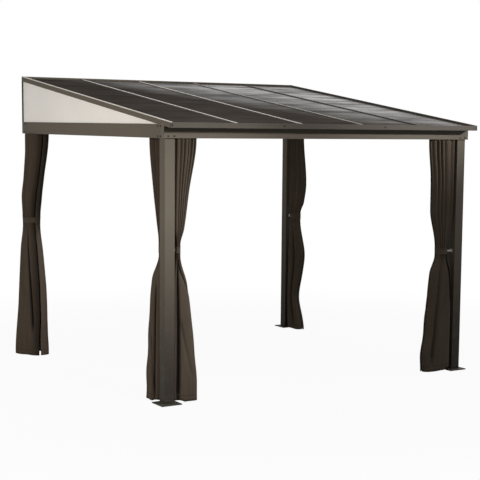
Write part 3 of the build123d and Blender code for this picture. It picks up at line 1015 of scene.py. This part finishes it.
def screwPlaces(spots):
    places = []
    front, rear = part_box("front_beam"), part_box("rear_beam")
    left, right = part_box("left_beam"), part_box("right_beam")
    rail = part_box("front_rail")
    low, high = front[0].z, front[1].z
    for sideX in (-1, 1):
        for inward in spots["beamInward"]:
            spot = sideX * (halfGrid + spots["overhang"] - inward)
            places.append(((spot, front[0].y, low + spots["beamRise"]), (0, -1, 0)))
            places.append(((spot, rear[1].y, low + spots["beamRise"]), (0, 1, 0)))
        for inward in spots["sideInward"]:
            for z in (low + spots["sideRise"], high - spots["sideDrop"]):
                face = left[0].x if sideX < 0 else right[1].x
                places.append(((face, left[0].y + inward, z), (sideX, 0, 0)))
                places.append(((face, left[1].y - inward, z), (sideX, 0, 0)))
    for x in spots["railAlong"]:
        places.append(((x, rail[0].y, rail[0].z + spots["railRise"]), (0, -1, 0)))
    for sideX in (-1, 1):
        for frontPost in (True, False):
            y = frontFace if frontPost else rearFace
            facing = (0, -1, 0) if frontPost else (0, 1, 0)
            for inward in spots["footInward"]:
                spot = sideX * (halfGrid - inward)
                places.append(((spot, y, spots["footRise"]), facing))
                back = frontFace + inward if frontPost else rearFace - inward
                places.append(((sideX * halfGrid, back, spots["footRise"]), (sideX, 0, 0)))
    return places


screwHead = turnedHead(screwLook)
screwTree, screwSockets = makeScrewTree(finishes["screwMetal"])
screwValues = [
    (screwSockets["Head"], screwHead),
    (screwSockets["Size"], 1.0),
    (screwSockets["Seed"], screwLook["seed"]),
]
settleTree("frameScrews", screwPlaces(screwSpots), screwTree, screwValues)
bpy.data.objects.remove(screwHead)
print("screws set")


# round plugs near the ends of the front beam
plugLook = {"inward": 0.02, "rise": 0.084, "radius": 0.013, "rim": 0.004, "sides": 32}


def makePlugs(look):
    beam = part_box("front_beam")
    work = bmesh.new()
    profile = [
        (look["radius"], 0.0), (look["radius"], 0.002), (look["radius"] - 0.0015, 0.0035),
        (look["radius"] - look["rim"], 0.0035), (look["radius"] - look["rim"] - 0.001, 0.0008),
    ]
    for sideX in (-1, 1):
        along = sideX * (halfGrid + screwSpots["overhang"] - look["inward"])
        centre = Vector((along, beam[0].y, beam[0].z + look["rise"]))
        rings = []
        for r, out in profile:
            ring = []
            for step in range(look["sides"]):
                turn = 2 * math.pi * step / look["sides"]
                spot = (r * math.cos(turn), -out, r * math.sin(turn))
                ring.append(work.verts.new(centre + Vector(spot)))
            rings.append(ring)
        skinRings(work, rings)
    mesh = settleMesh(work, "beamPlugs")
    return finishPiece("beamPlugs", mesh, finishes["screwMetal"])


makePlugs(plugLook)
print("plugs set")


# thin bare trim folded over the lip of each gable rafter
trimPlan = {
    "front": (-1.5105, 2.182), "rear": (1.4835, 2.592),
    "lip": 0.012, "leg": 0.004, "thick": 0.0012,
}


def makeTrims(look):
    work = bmesh.new()
    thick, lip, leg = look["thick"], look["lip"], look["leg"]
    profile = [(0.0, -leg), (thick, -leg), (thick, thick), (-lip, thick), (-lip, 0.0), (0.0, 0.0)]
    for sideX, name in ((-1, "gable_rafter_left"), (1, "gable_rafter_right")):
        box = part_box(name)
        face = box[0].x if sideX < 0 else box[1].x
        rings = []
        for y, z in (look["front"], look["rear"]):
            rings.append([work.verts.new((face + sideX * out, y, z + up)) for out, up in profile])
        skinRings(work, rings)
    return finishPiece("gableTrims", settleMesh(work, "gableTrims"), trimMetal)


makeTrims(trimPlan)
print("trims set")


# floor, world and light: two spots at the front, a soft lamp at the left and a
# soft light from above
studio = {
    "floor": (0.3, 0.295, 0.29, 1.0),
    "world": (1.0, 1.0, 1.0, 1.0),
    "worldLevel": 0.19,
    "floorHalf": 30.0,
    "floorFade": (2.5, 6.0),
    "floorWhite": (0.95, 1.0),
    "keyPlace": (-0.7, -4.9, 3.2),
    "keyAim": (-1.45, -1.37, 1.25),
    "keyPower": 680.0,
    "keyAngle": 46.0,
    "keySize": 0.3,
    "sidePlace": (-5.2, -0.9, 1.6),
    "sideAim": (-1.5, -0.7, 1.6),
    "sidePower": 70.0,
    "sideColour": (1.0, 0.95, 0.86),
    "sideSize": 1.4,
    "spotPlace": (4.3, -5.2, 3.4),
    "spotAim": (0.9, -1.39, 2.5),
    "spotPower": 1500.0,
    "spotAngle": 24.0,
    "spotSize": 0.12,
    "skyPower": 1.5,
    "skyPlace": (0.12, -0.3, 1.0),
    "skyAim": (0.0, 0.0, 0.0),
    "skyAngle": 40.0,
}


def whiteRays(tree):
    path = addNode(tree, "ShaderNodeLightPath").outputs
    clear = mathNode(tree, "MAXIMUM", path["Is Camera Ray"], path["Is Transmission Ray"])
    return mathNode(tree, "MAXIMUM", clear, path["Is Glossy Ray"])


def makeWorld(look):
    world = bpy.data.worlds.new("studioWorld")
    scene.world = world
    world.use_nodes = True
    tree = world.node_tree
    tree.nodes.clear()
    sink = addNode(tree, "ShaderNodeOutputWorld")
    light = addNode(
        tree, "ShaderNodeBackground", {"Color": look["world"], "Strength": look["worldLevel"]}
    )
    white = addNode(tree, "ShaderNodeBackground", {"Color": look["world"], "Strength": 1.0})
    mix = addNode(tree, "ShaderNodeMixShader")
    join(tree, whiteRays(tree), mix.inputs["Fac"])
    join(tree, light.outputs[0], mix.inputs[1])
    join(tree, white.outputs[0], mix.inputs[2])
    join(tree, mix.outputs[0], sink.inputs["Surface"])


def makeFloor(look):
    mesh = bpy.data.meshes.new("studioFloor")
    half = look["floorHalf"]
    mesh.from_pydata(
        [(-half, -half, 0), (half, -half, 0), (half, half, 0), (-half, half, 0)],
        [], [(0, 1, 2, 3)],
    )
    floor = bpy.data.objects.new("studioFloor", mesh)
    scene.collection.objects.link(floor)
    material, tree, shader = newMaterial(
        "studioFloor", {"Base Color": look["floor"], "Roughness": 0.9, "Specular IOR Level": 0.0}
    )
    values = {0: objectPlace(tree)}
    reach = addNode(tree, "ShaderNodeVectorMath", values, operation="LENGTH").outputs["Value"]
    limits = {
        "From Min": look["floorFade"][0], "From Max": look["floorFade"][1],
        "To Min": look["floorWhite"][0], "To Max": look["floorWhite"][1],
    }
    fade = rangeNode(tree, reach, limits, interpolation_type="SMOOTHSTEP")
    share = mathNode(tree, "MULTIPLY", fade, whiteRays(tree))
    white = addNode(tree, "ShaderNodeEmission", {"Color": look["world"], "Strength": 1.0})
    mix = addNode(tree, "ShaderNodeMixShader")
    join(tree, share, mix.inputs["Fac"])
    join(tree, tree.nodes["Principled BSDF"].outputs[0], mix.inputs[1])
    join(tree, white.outputs[0], mix.inputs[2])
    join(tree, mix.outputs[0], tree.nodes["Material Output"].inputs["Surface"])
    mesh.materials.append(material)


def hangLamp(name, kind, look, part):
    data = bpy.data.lights.new(name, kind)
    data.energy = look[part + "Power"]
    lamp = bpy.data.objects.new(name, data)
    place = Vector(look[part + "Place"])
    lamp.location = place
    lamp.rotation_mode = "QUATERNION"
    lamp.rotation_quaternion = (place - Vector(look[part + "Aim"])).to_track_quat("Z", "Y")
    lamp.visible_camera = False
    scene.collection.objects.link(lamp)
    return data


def makeLamps(look):
    for name, part in (("keyLamp", "key"), ("endLamp", "spot")):
        spot = hangLamp(name, "SPOT", look, part)
        spot.spot_size = math.radians(look[part + "Angle"])
        spot.spot_blend = 1.0
        spot.shadow_soft_size = look[part + "Size"]
    side = hangLamp("sideLamp", "AREA", look, "side")
    side.shape = "DISK"
    side.size = look["sideSize"]
    side.color = look["sideColour"]
    sky = hangLamp("skyLight", "SUN", look, "sky")
    sky.angle = math.radians(look["skyAngle"])


makeWorld(studio)
makeFloor(studio)
makeLamps(studio)
print("studio lit")
